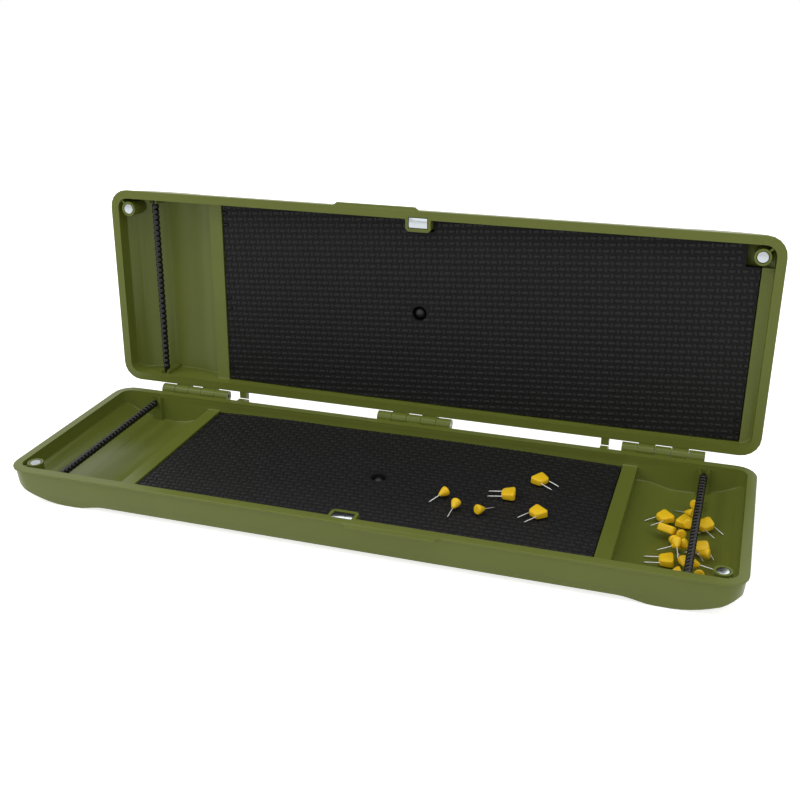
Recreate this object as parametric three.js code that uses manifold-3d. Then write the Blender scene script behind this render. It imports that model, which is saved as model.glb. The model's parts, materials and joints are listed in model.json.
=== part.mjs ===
// A slim two-part rig box: a base and a lid of one moulding family, joined by three pinned
// hinges, with foam pads, ribbed line rods, closing magnets and the rig pins kept inside.
// Millimetres. X runs along the box, +Y is the hinge side, +Z is up. The origin is the middle
// of the flat underside. The box stands open, with its lid leaning back on two stops.
import * as THREE from 'three';
import { mergeVertices } from 'three/addons/utils/BufferGeometryUtils.js';
import Module from 'manifold-3d';

const wasm = await Module();
wasm.setup();

// Outline of both halves, measured at the lip round the rim
const caseLength = 360;
const caseDepth = 110.4;
const caseCornerRadius = 10;
const halfHeight = 16;
const lipHeight = 1.3;
const lipOverhang = 1;
const lipChamfer = 0.3;
const wallDraft = 1.2;
const undersideRadius = 1;

// The deeper pods at the two ends of the outside
const podEndInset = 30;
const podFlatLength = 7;
const podRampLength = 16;
const podDrop = 2.4;
const podEndRise = 9;
const podEndPower = 1.8;

// The hollow inside
const endRimWidth = 4.6;
const sideRimWidth = 4.5;
const hollowCornerRadius = 5.5;
const hollowDraft = 0.5;
const hollowFloorRadius = 0.7;
const floorThickness = 2.8;
const bayLength = 53.4;
const bayFlatInset = 28.4;
const bayFlatLength = 5;
const bayRampLength = 17;
const bayDrop = 3.1;
const bayEndRise = 8.8;
const bayEndPower = 2.1;
const partitionWidth = 7.4;
const partitionDrop = 5.8;
const partitionDraft = 0.25;
const ledgeWidth = 5.9;
const cornerPocketLength = 13.2;
const cornerPocketDepth = 11.9;

// Hinges and the stops that hold the lid open
const openAngle = 94.2;
const closedGap = 0.3;
const hingeBehindLip = 3.45;
const hingeEndInset = 46.7;
const knuckleCount = 5;
const knuckleLength = 8;
const knuckleGap = 0.4;
const knuckleRadius = 3.1;
const hingePinRadius = 1;
const hingePinClearance = 0.06;
const hingePinRecess = 0.6;
const hingePinShift = 0.5;
const hingeArmDrop = 5.8;
const hingeArmSink = 0.1;
const stopEndInset = 76.5;
const stopWidth = 4;
const stopFlatReach = 2.8;
const stopReach = 7.1;
const stopSlope = 0.5;
const stopGap = 0.4;
const stopHeight = 5;
const stopToeHeight = 1.3;
const lidStopHeight = 3.7;
const lidStopSink = 0.1;

// Thumb tabs on the two front lips
const baseTabStart = 1.5;
const lidTabStart = -46.6;
const tabLength = 46.8;
const tabSlant = 2;
const baseTabReach = 2.6;
const lidTabReach = 1.6;

// Closing magnets and their bosses
const magnetEndInset = 10.9;
const magnetSideInset = 10.3;
const magnetRadius = 2.65;
const magnetHeight = 2;
const magnetChamfer = 0.2;
const magnetTopDrop = 0.15;
const magnetSeatGap = 0.3;
const magnetBossRadius = 4;
const bossDrop = 0.08;
const bossRibWidth = 0.9;
const bossRibDrop = 1;
const barMagnetLength = 9.9;
const barMagnetWidth = 5.2;
const barMagnetSideInset = 6.3;
const barBossHalfLength = 6.8;
const barBossSideInset = 10.9;
const barBossChamfer = 1.5;

// Foam pads and the studs in their middle
const padGap = 0.3;
const padDrop = 6.2;
const padCrown = 1.3;
const padCrownPower = 3;
const padCornerRadius = 1;
const padHoleRadius = 4;
const studRadius = 3.4;
const studShankRadius = 2.6;
const studCapHeight = 1.9;
const baseStudDrop = 5.6;
const lidStudDrop = 4.9;

// Ribbed rods that the line is wound on, and the forks that hold them
const rodEndInset = 20.6;
const rodDrop = 5;
const rodRadius = 2.1;
const rodNeckRadius = 1.3;
const rodRibPitch = 3;
const journalRadius = 0.9;
const journalGap = 0.3;
const forkReach = 2.2;
const forkWidth = 6.2;
const forkMouthWidth = 4.2;
const forkThroatWidth = 1.9;
const forkTipDrop = 1.6;
const forkThroatDrop = 3.9;
const forkTipChamfer = 1;

// Rig pins: a moulded head on one wire, or on two
const needleRadius = 0.4;
const needleTipLength = 1.4;
const needleLength = 7;
const bellLength = 5;
const bellRadius = 2.4;
const wedgeLength = 6.6;
const wedgeFarWidth = 9;
const wedgeNearWidth = 6.2;
const wedgeFarThickness = 3.8;
const wedgeNearThickness = 3;
const wedgeCorner = 1.2;
const twinNeedlePitch = 5;
const pinSeatGap = 0.3;
const pinLiftStep = 0.1;

// Overrun of every cut, the distance under which vertices are one, and facet counts
const overrun = 1;
const weldDistance = 0.0001;
const cornerSteps = 5;
const curveSteps = 5;
const boreSides = 16;
const discSides = 20;
const ribSides = 8;
const needleSides = 5;
const bellSides = 8;

// Values that follow from the sizes above
const halfLength = caseLength / 2;
const halfDepth = caseDepth / 2;
const hollowHalfLength = halfLength - endRimWidth;
const hollowHalfDepth = halfDepth - sideRimWidth;
const padFloor = -(halfHeight - floorThickness);
const bayEdge = hollowHalfLength - bayLength;
const padEdge = bayEdge - partitionWidth;
const ledgeEdge = hollowHalfLength - ledgeWidth;
const hingeRise = closedGap / 2;
const hingeY = halfDepth + hingeBehindLip;
const hingeX = halfLength - hingeEndInset;
const hingeLength = knuckleCount * knuckleLength + (knuckleCount - 1) * knuckleGap;
const rodX = hollowHalfLength - rodEndInset;

const outline = { halfLength, halfDepth, radius: caseCornerRadius };
const hollowOutline = {
  halfLength: hollowHalfLength,
  halfDepth: hollowHalfDepth,
  radius: hollowCornerRadius,
};

const plastic = { color: 0x5a6426, roughness: 0.42, metalness: 0 };
const foam = { color: 0x17171a, roughness: 0.85, metalness: 0 };
const darkPlastic = { color: 0x101012, roughness: 0.3, metalness: 0 };
const nickel = { color: 0xb4b6ba, roughness: 0.3, metalness: 1 };
const steel = { color: 0x9a9a96, roughness: 0.35, metalness: 1 };
const amber = { color: 0xe0a010, roughness: 0.4, metalness: 0 };

// Booleans on closed geometries

function solidFrom(geometry) {
  const loose = geometry.index ? geometry.toNonIndexed() : geometry.clone();
  loose.deleteAttribute('normal');
  loose.deleteAttribute('uv');
  const merged = mergeVertices(loose, weldDistance);
  return new wasm.Manifold(
    new wasm.Mesh({
      numProp: 3,
      vertProperties: merged.attributes.position.array,
      triVerts: merged.index.array,
    }),
  );
}

function geometryFrom(solid) {
  const mesh = solid.getMesh();
  const geometry = new THREE.BufferGeometry();
  geometry.setAttribute('position', new THREE.BufferAttribute(mesh.vertProperties, mesh.numProp));
  geometry.setIndex(new THREE.BufferAttribute(mesh.triVerts, 1));
  const flat = geometry.toNonIndexed();
  flat.computeVertexNormals();
  return flat;
}

const joined = (solids) => solids.reduce((whole, piece) => whole.add(piece));

const cutBy = (solid, cutters) => cutters.reduce((left, cutter) => left.subtract(cutter), solid);

// Straight-sided solids

function box([x0, x1], [y0, y1], [z0, z1]) {
  const geometry = new THREE.BoxGeometry(x1 - x0, y1 - y0, z1 - z0);
  geometry.translate((x0 + x1) / 2, (y0 + y1) / 2, (z0 + z1) / 2);
  return solidFrom(geometry);
}

function prism(points, length, basis) {
  const shape = new THREE.Shape(points.map(([u, v]) => new THREE.Vector2(u, v)));
  const geometry = new THREE.ExtrudeGeometry(shape, { depth: length, bevelEnabled: false });
  return solidFrom(geometry.applyMatrix4(basis));
}

// The outline's points are (y, z) and the prism runs from x0 to x1
function prismAlongX(points, [x0, x1]) {
  const basis = new THREE.Matrix4().makeBasis(
    new THREE.Vector3(0, 1, 0),
    new THREE.Vector3(0, 0, 1),
    new THREE.Vector3(1, 0, 0),
  );
  return prism(points, x1 - x0, basis.setPosition(x0, 0, 0));
}

// The outline's points are (x, z) and the prism runs from y0 to y1
function prismAlongY(points, [y0, y1]) {
  const basis = new THREE.Matrix4().makeBasis(
    new THREE.Vector3(1, 0, 0),
    new THREE.Vector3(0, 0, 1),
    new THREE.Vector3(0, -1, 0),
  );
  return prism(points, y1 - y0, basis.setPosition(0, y1, 0));
}

// The outline's points are (x, y) and the prism runs from z0 to z1
function prismAlongZ(points, [z0, z1]) {
  return prism(points, z1 - z0, new THREE.Matrix4().setPosition(0, 0, z0));
}

function rodAlongX(radius, [x0, x1], y, z, sides) {
  const geometry = new THREE.CylinderGeometry(radius, radius, x1 - x0, sides);
  geometry.rotateZ(Math.PI / 2);
  geometry.translate((x0 + x1) / 2, y, z);
  return solidFrom(geometry);
}

// A turned solid standing on its axis; the profile's points are (radius, height)
function turned(profile, x, y, sides) {
  const points = profile.map(([radius, height]) => new THREE.Vector2(radius, height));
  const geometry = new THREE.LatheGeometry(points, sides);
  geometry.rotateX(Math.PI / 2);
  geometry.translate(x, y, 0);
  return solidFrom(geometry);
}

// The moulded forms: rings of points round the box, one above the other. A ring has a front
// and a back row with the same stations along X, so that its caps are strips across the box.

const smooth = (t) => t * t * (3 - 2 * t);

function between(start, end, steps) {
  return Array.from({ length: steps + 1 }, (_, i) => start + ((end - start) * i) / steps);
}

// The outside wall leans in below the lip, by its draft from there to the underside
const wallInset = lipOverhang + wallDraft;
const wallInsetAt = (height) =>
  lipOverhang + (wallDraft * (-height - lipHeight)) / (halfHeight - lipHeight);

// Height of the outside's underside, with the pods near both ends
function undersideLevel(x) {
  const inset = halfLength - Math.abs(x);
  if (inset >= podEndInset + podFlatLength) {
    const way = (podEndInset + podFlatLength + podRampLength - inset) / podRampLength;
    return -halfHeight - podDrop * smooth(Math.max(way, 0));
  }
  const rise = Math.max(podEndInset - inset, 0) / (podEndInset - wallInset);
  return -halfHeight - podDrop + podEndRise * Math.min(rise, 1) ** podEndPower;
}

// Height of the floor in the bay at an end of the hollow
function bayLevel(x) {
  const inset = hollowHalfLength - Math.abs(x);
  if (inset >= bayFlatInset + bayFlatLength) {
    const way = (bayFlatInset + bayFlatLength + bayRampLength - inset) / bayRampLength;
    return padFloor - bayDrop * smooth(Math.max(way, 0));
  }
  const rise = Math.max(bayFlatInset - inset, 0) / bayFlatInset;
  return padFloor - bayDrop + bayEndRise * rise ** bayEndPower;
}

// Height of a foam pocket's floor, which follows the outside where the case gets shallow
const pocketLevel = (x) => Math.max(padFloor, undersideLevel(x) + floorThickness);

// Floor of the base, with a bay at each end and a partition beside each bay
function baseHollowLevel(x) {
  if (Math.abs(x) >= bayEdge + partitionDraft) return bayLevel(x);
  if (Math.abs(x) > padEdge - partitionDraft) return -partitionDrop;
  return padFloor;
}

// Floor of the lid: a bay on the left, and foam as far as a narrow ledge on the right
function lidHollowLevel(x) {
  if (x < 0) return baseHollowLevel(x);
  return x > ledgeEdge - partitionDraft ? -partitionDrop : pocketLevel(x);
}

// Stations along the straight sides, at the places where an underside or a floor changes
const undersideBreaks = [
  ...between(halfLength - podEndInset - podFlatLength - podRampLength,
    halfLength - podEndInset - podFlatLength, curveSteps),
  ...between(halfLength - podEndInset, halfLength - caseCornerRadius, curveSteps),
];
const bayBreaks = [
  ...between(bayEdge + partitionDraft, hollowHalfLength - bayFlatInset - bayFlatLength,
    curveSteps + 1),
  ...between(hollowHalfLength - bayFlatInset, hollowHalfLength - hollowCornerRadius,
    curveSteps + 1),
];
const partitionBreaks = [padEdge - partitionDraft, padEdge, bayEdge];
const ledgeBreaks = [
  padEdge,
  ...between(halfLength - podEndInset, ledgeEdge - partitionDraft, curveSteps),
  ledgeEdge,
];

function stationsOf({ halfLength: end, radius }, leftBreaks, rightBreaks) {
  const arc = (side) => between(0, Math.PI / 2, cornerSteps).map((angle) => ({ side, angle }));
  const limit = end - radius - weldDistance;
  const straight = [...leftBreaks.map((x) => -x), ...rightBreaks]
    .filter((x) => Math.abs(x) < limit)
    .sort((a, b) => a - b);
  return [...arc(-1).reverse(), ...straight.map((x) => ({ x })), ...arc(1)];
}

// One ring: the level and the inset may change from station to station
function ring(stations, { halfLength: end, halfDepth: side, radius }, level, inset) {
  const front = stations.map((station) => {
    if (station.x !== undefined) {
      const height = level(station.x);
      return [station.x, -(side - inset(height)), height];
    }
    const nominal = station.side * (end - radius + radius * Math.sin(station.angle));
    const height = level(nominal);
    const left = radius - inset(height);
    return [
      station.side * (end - radius + left * Math.sin(station.angle)),
      -(side - radius + left * Math.cos(station.angle)),
      height,
    ];
  });
  const back = front.map(([x, y, z]) => [x, -y, z]).reverse();
  return [...front, ...back];
}

// A closed solid through rings that go down from the top one
function lofted(rings) {
  const count = rings[0].length;
  const indices = [];
  rings.slice(1).forEach((_, level) => {
    for (let i = 0; i < count; i += 1) {
      const next = (i + 1) % count;
      const [a, b] = [level * count + i, level * count + next];
      indices.push(a, a + count, b + count, a, b + count, b);
    }
  });
  const last = (rings.length - 1) * count;
  for (let i = 0; i < count / 2 - 1; i += 1) {
    const across = [i, i + 1, count - 2 - i, count - 1 - i];
    const [p, q, r, s] = across;
    indices.push(p, q, r, p, r, s);
    indices.push(last + p, last + r, last + q, last + p, last + s, last + r);
  }
  const geometry = new THREE.BufferGeometry();
  geometry.setAttribute('position', new THREE.Float32BufferAttribute(rings.flat(2), 3));
  geometry.setIndex(indices);
  return solidFrom(geometry);
}

// Rings of a rounded bottom edge: (way up, way in) as shares of the radius
const edgeArcShares = [[1, 0], [0.5, 0.134], [0.134, 0.5], [0, 1]];

function outerSolid() {
  const stations = stationsOf(outline, undersideBreaks, undersideBreaks);
  const flat = (height, inset) => ring(stations, outline, () => height, () => inset);
  const edge = edgeArcShares.map(([up, inward]) =>
    ring(
      stations,
      outline,
      (x) => undersideLevel(x) + up * undersideRadius,
      (height) => wallInsetAt(height) + inward * undersideRadius,
    ),
  );
  return lofted([
    flat(0, lipChamfer),
    flat(-lipChamfer, 0),
    flat(-lipHeight + lipChamfer, 0),
    flat(-lipHeight, lipChamfer),
    flat(-lipHeight, lipOverhang),
    ...edge,
  ]);
}

const hollowInset = (height) => (hollowDraft * Math.min(height, 0)) / padFloor;

function hollowSolid(level, leftBreaks, rightBreaks) {
  const stations = stationsOf(hollowOutline, leftBreaks, rightBreaks);
  const edge = edgeArcShares.map(([up, inward]) =>
    ring(
      stations,
      hollowOutline,
      (x) => level(x) + up * hollowFloorRadius,
      (height) => hollowInset(height) + inward * hollowFloorRadius,
    ),
  );
  const top = ring(stations, hollowOutline, () => overrun, () => 0);
  const rim = ring(stations, hollowOutline, () => 0, () => 0);
  return lofted([top, rim, ...edge]);
}

// Details of a half. A half lies with its rim at height 0 and its hollow below. Its front is
// at -Y in the base and at +Y in the lid, which is turned over on to it.

function cornerBoss(side, front) {
  const x = side * (halfLength - magnetEndInset);
  const y = front * (halfDepth - magnetSideInset);
  const profile = [
    [0, -halfHeight],
    [magnetBossRadius, -halfHeight],
    [magnetBossRadius, -bossDrop],
    [0, -bossDrop],
  ];
  const reach = magnetEndInset + magnetSideInset;
  const halfRib = bossRibWidth / 2;
  const rib = new THREE.BoxGeometry(reach, bossRibWidth, halfHeight);
  rib.translate(reach / 2 + halfRib, 0, -bossRibDrop - halfHeight / 2);
  rib.rotateZ(Math.atan2(front, side));
  rib.translate(x, y, 0);
  return turned(profile, x, y, discSides).add(solidFrom(rib));
}

function cornerMagnetSeat(side, front) {
  const x = side * (halfLength - magnetEndInset);
  const y = front * (halfDepth - magnetSideInset);
  const radius = magnetRadius + magnetSeatGap;
  const floor = -magnetTopDrop - magnetHeight - magnetSeatGap;
  return turned([[0, floor], [radius, floor], [radius, overrun], [0, overrun]], x, y, discSides);
}

function cornerMagnet(side, front) {
  const x = side * (halfLength - magnetEndInset);
  const y = front * (halfDepth - magnetSideInset);
  const top = -magnetTopDrop;
  const profile = [
    [0, top - magnetHeight],
    [magnetRadius, top - magnetHeight],
    [magnetRadius, top - magnetChamfer],
    [magnetRadius - magnetChamfer, top],
    [0, top],
  ];
  return turned(profile, x, y, discSides);
}

function barBoss(front) {
  const inner = halfDepth - barBossSideInset;
  const points = [
    [-barBossHalfLength, halfDepth - wallInset],
    [-barBossHalfLength, inner + barBossChamfer],
    [-barBossHalfLength + barBossChamfer, inner],
    [barBossHalfLength - barBossChamfer, inner],
    [barBossHalfLength, inner + barBossChamfer],
    [barBossHalfLength, halfDepth - wallInset],
  ];
  return prismAlongZ(points.map(([x, y]) => [x, front * y]), [-halfHeight, -bossDrop]);
}

// The bar magnet's block, or with a gap all round its seat
function barBlock(front, gap, top) {
  const y = front * (halfDepth - barMagnetSideInset);
  const halfWidth = barMagnetWidth / 2 + gap;
  const reach = barMagnetLength / 2 + gap;
  const bottom = -magnetTopDrop - magnetHeight - gap;
  return box([-reach, reach], [y - halfWidth, y + halfWidth], [bottom, top]);
}

const barMagnet = (front) => barBlock(front, 0, -magnetTopDrop);

const barMagnetSeat = (front) => barBlock(front, magnetSeatGap, overrun);

// A fork on a long wall, with a mouth that narrows to a throat over the rod's journal
function rodFork(x, wall) {
  const [outer, mouth, throat] = [forkWidth / 2, forkMouthWidth / 2, forkThroatWidth / 2];
  const seat = journalRadius + journalGap;
  const seatArc = between(Math.PI / 4, -Math.PI / 2, curveSteps).map((angle) => [
    seat * Math.cos(angle),
    -rodDrop + seat * Math.sin(angle),
  ]);
  const right = [
    [outer, -halfHeight - podDrop],
    [outer, -forkTipDrop - forkTipChamfer],
    [outer - forkTipChamfer / 2, -forkTipDrop],
    [mouth, -forkTipDrop],
    [throat, -forkThroatDrop],
    ...seatArc,
  ];
  const left = right.slice(0, -1).map(([u, v]) => [-u, v]).reverse();
  const points = [...right, ...left].map(([u, v]) => [x + u, v]);
  const [near, far] = [hollowHalfDepth - forkReach, hollowHalfDepth + overrun];
  return prismAlongY(points, wall > 0 ? [near, far] : [-far, -near]);
}

function ribbedRod(x) {
  const reach = hollowHalfDepth - forkReach - journalGap;
  const count = Math.floor((2 * reach) / rodRibPitch);
  const start = (-count * rodRibPitch) / 2;
  const journalEnd = hollowHalfDepth - hollowDraft - journalGap;
  const profile = [[0, -journalEnd], [journalRadius, -journalEnd], [journalRadius, start]];
  for (let i = 0; i < count; i += 1) {
    profile.push([rodNeckRadius, start + i * rodRibPitch]);
    profile.push([rodRadius, start + (i + 1 / 2) * rodRibPitch]);
  }
  profile.push([rodNeckRadius, -start], [journalRadius, -start]);
  profile.push([journalRadius, journalEnd], [0, journalEnd]);
  const points = profile.map(([radius, height]) => new THREE.Vector2(radius, height));
  const geometry = new THREE.LatheGeometry(points, ribSides);
  geometry.rotateY(Math.PI / ribSides);
  geometry.translate(x, 0, -rodDrop);
  return solidFrom(geometry);
}

function thumbTab(front, start, reach) {
  const end = start + tabLength;
  const root = halfDepth - sideRimWidth / 2;
  const lip = halfDepth + reach;
  const points = [[start, root], [start, halfDepth], [start + tabSlant, lip]];
  points.push([end - tabSlant, lip], [end, halfDepth], [end, root]);
  return prismAlongZ(points.map(([x, y]) => [x, front * y]), [-lipHeight, -lipChamfer / 2]);
}

// Knuckles are numbered from the left. Those of one half carry an arm down to its wall.
function knuckle(centre, index, front) {
  const start = centre - hingeLength / 2 + index * (knuckleLength + knuckleGap);
  const span = [start, start + knuckleLength];
  const back = -front;
  const root = hollowHalfDepth + sideRimWidth / 3;
  const arm = [
    [root, -hingeArmSink],
    [hingeY, -hingeArmSink],
    [
      hingeY + knuckleRadius * Math.cos(Math.PI / 3),
      hingeRise - knuckleRadius * Math.sin(Math.PI / 3),
    ],
    [root, -hingeArmDrop],
  ];
  const barrel = rodAlongX(knuckleRadius, span, back * hingeY, hingeRise, boreSides);
  return barrel.add(prismAlongX(arm.map(([y, z]) => [back * y, z]), span));
}

function hingeBore(centre, front) {
  const reach = hingeLength / 2 + overrun;
  const radius = hingePinRadius + hingePinClearance;
  return rodAlongX(radius, [centre - reach, centre + reach], -front * hingeY, hingeRise, boreSides);
}

function hingePin(centre, shift) {
  const reach = hingeLength / 2 - hingePinRecess;
  const middle = centre + shift;
  return rodAlongX(hingePinRadius, [middle - reach, middle + reach], hingeY, hingeRise, boreSides);
}

// Height over the base's rim of the slope that ends a stub, or of a face at a gap over it
const stopLevel = (y, gap) =>
  gap * Math.hypot(1, stopSlope) - stopSlope * (y - halfDepth - stopFlatReach);

// A stub that sticks out behind the base and slopes down, for the lid's stop to come down on
function baseStop(x) {
  const root = hollowHalfDepth + sideRimWidth / 3;
  const end = halfDepth + stopReach;
  const points = [
    [root, 0],
    [halfDepth + stopFlatReach, 0],
    [end, stopLevel(end, 0)],
    [end, stopLevel(end, 0) - stopToeHeight],
    [halfDepth, -stopHeight],
    [root, -stopHeight],
  ];
  return prismAlongX(points, [x - stopWidth / 2, x + stopWidth / 2]);
}

// Where a point over the base's rim lies in the half of the open lid, its hinge side at +Y
function inOpenLid(y, z) {
  const angle = THREE.MathUtils.degToRad(openAngle);
  const [back, up] = [y - hingeY, z - hingeRise];
  return [
    hingeY + back * Math.cos(angle) - up * Math.sin(angle),
    hingeRise - back * Math.sin(angle) - up * Math.cos(angle),
  ];
}

// The lid's stop ends in a face that lies along the base's slope when the lid is open
function lidStop(x) {
  const root = hollowHalfDepth + sideRimWidth / 3;
  const [near, far] = [hingeY + closedGap, hingeY + lidStopHeight];
  const points = [
    [root, -lidStopSink],
    inOpenLid(near, stopLevel(near, stopGap)),
    inOpenLid(far, stopLevel(far, stopGap)),
    [root, -lidStopHeight],
  ];
  return prismAlongX(points.map(([y, z]) => [-y, z]), [x - stopWidth / 2, x + stopWidth / 2]);
}

const hingePlaces = [
  ['left', -hingeX, -hingePinShift],
  ['centre', 0, hingePinShift],
  ['right', hingeX, 0],
];
const sides = [['left', -1], ['right', 1]];
const isBaseKnuckle = (index) => index % 2 === 0;

function hingeKnuckles(front, isOwn) {
  const indices = Array.from({ length: knuckleCount }, (_, i) => i).filter(isOwn);
  return hingePlaces.flatMap(([, x]) => indices.map((index) => knuckle(x, index, front)));
}

function baseShell() {
  const front = -1;
  const outside = outerSolid();
  const breaks = [...partitionBreaks, ...bayBreaks];
  const inside = hollowSolid(baseHollowLevel, breaks, breaks);
  const fittings = joined([
    ...sides.map(([, side]) => cornerBoss(side, front)),
    barBoss(front),
    ...sides.flatMap(([, side]) => [-1, 1].map((wall) => rodFork(side * rodX, wall))),
  ]).intersect(outside);
  const stopX = halfLength - stopEndInset;
  const body = joined([
    outside.subtract(inside),
    fittings,
    thumbTab(front, baseTabStart, baseTabReach),
    ...hingeKnuckles(front, isBaseKnuckle),
    ...sides.map(([, side]) => baseStop(side * stopX)),
  ]);
  return cutBy(body, [
    ...sides.map(([, side]) => cornerMagnetSeat(side, front)),
    barMagnetSeat(front),
    ...hingePlaces.map(([, x]) => hingeBore(x, front)),
  ]);
}

function lidShell() {
  const front = 1;
  const outside = outerSolid();
  const leftBreaks = [...partitionBreaks, ...bayBreaks];
  const inside = hollowSolid(lidHollowLevel, leftBreaks, ledgeBreaks);
  const pocketSpan = [hollowHalfLength - cornerPocketLength, halfLength];
  const cornerPocket = hollowSolid(pocketLevel, [], ledgeBreaks).intersect(
    box(pocketSpan, [hollowHalfDepth - cornerPocketDepth, halfDepth], [-halfHeight, overrun]),
  );
  const fittings = joined([
    ...sides.map(([, side]) => cornerBoss(side, front)),
    barBoss(front),
    ...[-1, 1].map((wall) => rodFork(-rodX, wall)),
  ]).intersect(outside);
  const stopX = halfLength - stopEndInset;
  const body = joined([
    cutBy(outside, [inside, cornerPocket]),
    fittings,
    thumbTab(front, lidTabStart, lidTabReach),
    ...hingeKnuckles(front, (index) => !isBaseKnuckle(index)),
    ...sides.map(([, side]) => lidStop(side * stopX)),
  ]);
  return cutBy(body, [
    ...sides.map(([, side]) => cornerMagnetSeat(side, front)),
    barMagnetSeat(front),
    ...hingePlaces.map(([, x]) => hingeBore(x, front)),
  ]);
}

// Foam pads: flat below, a little crowned above, with a hole for the stud
function padSolid(start, end, front, cuts) {
  const middle = (start + end) / 2;
  const half = (end - start) / 2;
  const padOutline = {
    halfLength: half,
    halfDepth: hollowHalfDepth - hollowDraft - padGap,
    radius: padCornerRadius,
  };
  const crown = (x) => padCrown * (1 - Math.abs(x / half) ** padCrownPower);
  const breaks = between(0, half - padCornerRadius, curveSteps);
  const stations = stationsOf(padOutline, breaks.slice(1), breaks);
  const level = (x) => pocketLevel(x + middle) + padGap;
  const solid = lofted([
    ring(stations, padOutline, (x) => crown(x) - padDrop, () => 0),
    ring(stations, padOutline, level, () => 0),
  ]).translate([middle, 0, 0]);
  const radius = padHoleRadius;
  const hole = turned([[0, -halfHeight], [radius, -halfHeight], [radius, 0], [0, 0]], 0, 0, discSides);
  const reach = barBossHalfLength + padGap;
  const inner = halfDepth - barBossSideInset - padGap;
  const across = front > 0 ? [inner, halfDepth] : [-halfDepth, -inner];
  const notch = box([-reach, reach], across, [-halfHeight, 0]);
  return cutBy(solid, [hole, notch, ...cuts]);
}

function foamStud(top) {
  const under = top - studCapHeight;
  const bottom = padFloor + padGap;
  const profile = [[0, bottom], [studShankRadius, bottom], [studShankRadius, under]];
  const capRadius = (studRadius ** 2 + studCapHeight ** 2) / (2 * studCapHeight);
  const edgeAngle = Math.asin(studRadius / capRadius);
  between(edgeAngle, 0, curveSteps - 1).forEach((angle) => {
    profile.push([capRadius * Math.sin(angle), top - capRadius * (1 - Math.cos(angle))]);
  });
  profile[profile.length - 1][0] = 0;
  return turned(profile, 0, 0, discSides);
}

// Rig pins, lying along +X with the needles ahead and the head's widest place at the origin

const bellShares = [[0, -0.36], [0.7, -0.34], [0.98, -0.14], [0.94, 0.08], [0.55, 0.4]];
const bellNeckShares = [0.34, 0.64];

function singlePin() {
  const [neckRadiusShare, neckShare] = bellNeckShares;
  const neck = neckShare * bellLength;
  const tip = neck + needleLength;
  const profile = bellShares.map(([r, a]) => [r * bellRadius, a * bellLength]);
  profile.push([neckRadiusShare * bellRadius, neck], [needleRadius, neck]);
  profile.push([needleRadius, tip - needleTipLength], [0, tip]);
  const points = profile.map(([radius, height]) => new THREE.Vector2(radius, height));
  const geometry = new THREE.LatheGeometry(points, bellSides);
  geometry.rotateZ(-Math.PI / 2);
  return solidFrom(geometry);
}

// Sections of the wedge: place along it, and how much width and thickness are left
const wedgeSectionShares = [[-0.5, 0.84, 0.62], [-0.38, 1, 1], [0.4, 1, 1], [0.5, 0.86, 0.7]];

function wedgeHead() {
  const rings = wedgeSectionShares.map(([place, widthShare, thicknessShare]) => {
    const way = place + 1 / 2;
    const width = THREE.MathUtils.lerp(wedgeFarWidth, wedgeNearWidth, way) * widthShare;
    const thickness =
      THREE.MathUtils.lerp(wedgeFarThickness, wedgeNearThickness, way) * thicknessShare;
    const [w, t, c] = [width / 2, thickness / 2, wedgeCorner * thicknessShare];
    const quarter = [[w, t - c], [w - c, t]];
    const top = [...quarter, ...quarter.map(([y, z]) => [-y, z]).reverse()];
    const section = [...top, ...top.map(([y, z]) => [-y, -z])];
    return section.map(([y, z]) => [place * wedgeLength, y, z]);
  });
  const count = rings[0].length;
  const indices = [];
  rings.slice(1).forEach((_, level) => {
    for (let i = 0; i < count; i += 1) {
      const next = (i + 1) % count;
      const [a, b] = [level * count + i, level * count + next];
      indices.push(a, b, b + count, a, b + count, a + count);
    }
  });
  const last = (rings.length - 1) * count;
  for (let i = 1; i < count - 1; i += 1) {
    indices.push(0, i + 1, i);
    indices.push(last, last + i, last + i + 1);
  }
  const geometry = new THREE.BufferGeometry();
  geometry.setAttribute('position', new THREE.Float32BufferAttribute(rings.flat(2), 3));
  geometry.setIndex(indices);
  return solidFrom(geometry);
}

function doublePin() {
  const start = wedgeLength / 4;
  const tip = wedgeLength / 2 + needleLength;
  const profile = [[0, start], [needleRadius, start], [needleRadius, tip - needleTipLength], [0, tip]];
  const points = profile.map(([radius, height]) => new THREE.Vector2(radius, height));
  const needle = new THREE.LatheGeometry(points, needleSides);
  needle.rotateZ(-Math.PI / 2);
  const offset = twinNeedlePitch / 2;
  const needles = [-offset, offset].map((y) => solidFrom(needle.clone().translate(0, y, 0)));
  return joined([wedgeHead(), ...needles]);
}

const pinForms = { single: singlePin(), double: doublePin() };

// Scene

const rigBox = new THREE.Group();
const base = new THREE.Group();
base.position.set(0, 0, halfHeight);
const lidPivot = new THREE.Group();
lidPivot.position.set(0, hingeY, halfHeight + hingeRise);
lidPivot.rotation.x = -THREE.MathUtils.degToRad(openAngle);
const lid = new THREE.Group();
lid.position.set(0, -hingeY, hingeRise);
lid.rotation.x = Math.PI;
lidPivot.add(lid);
rigBox.add(base, lidPivot);

function addPiece(group, name, solid, finish) {
  const mesh = new THREE.Mesh(geometryFrom(solid), new THREE.MeshStandardMaterial(finish));
  mesh.name = name;
  group.add(mesh);
  return mesh;
}

addPiece(base, 'base_shell', baseShell(), plastic);
addPiece(lid, 'lid_shell', lidShell(), plastic);
hingePlaces.forEach(([place, x, shift]) => {
  addPiece(base, `hinge_pin_${place}`, hingePin(x, shift), steel);
});

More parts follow.
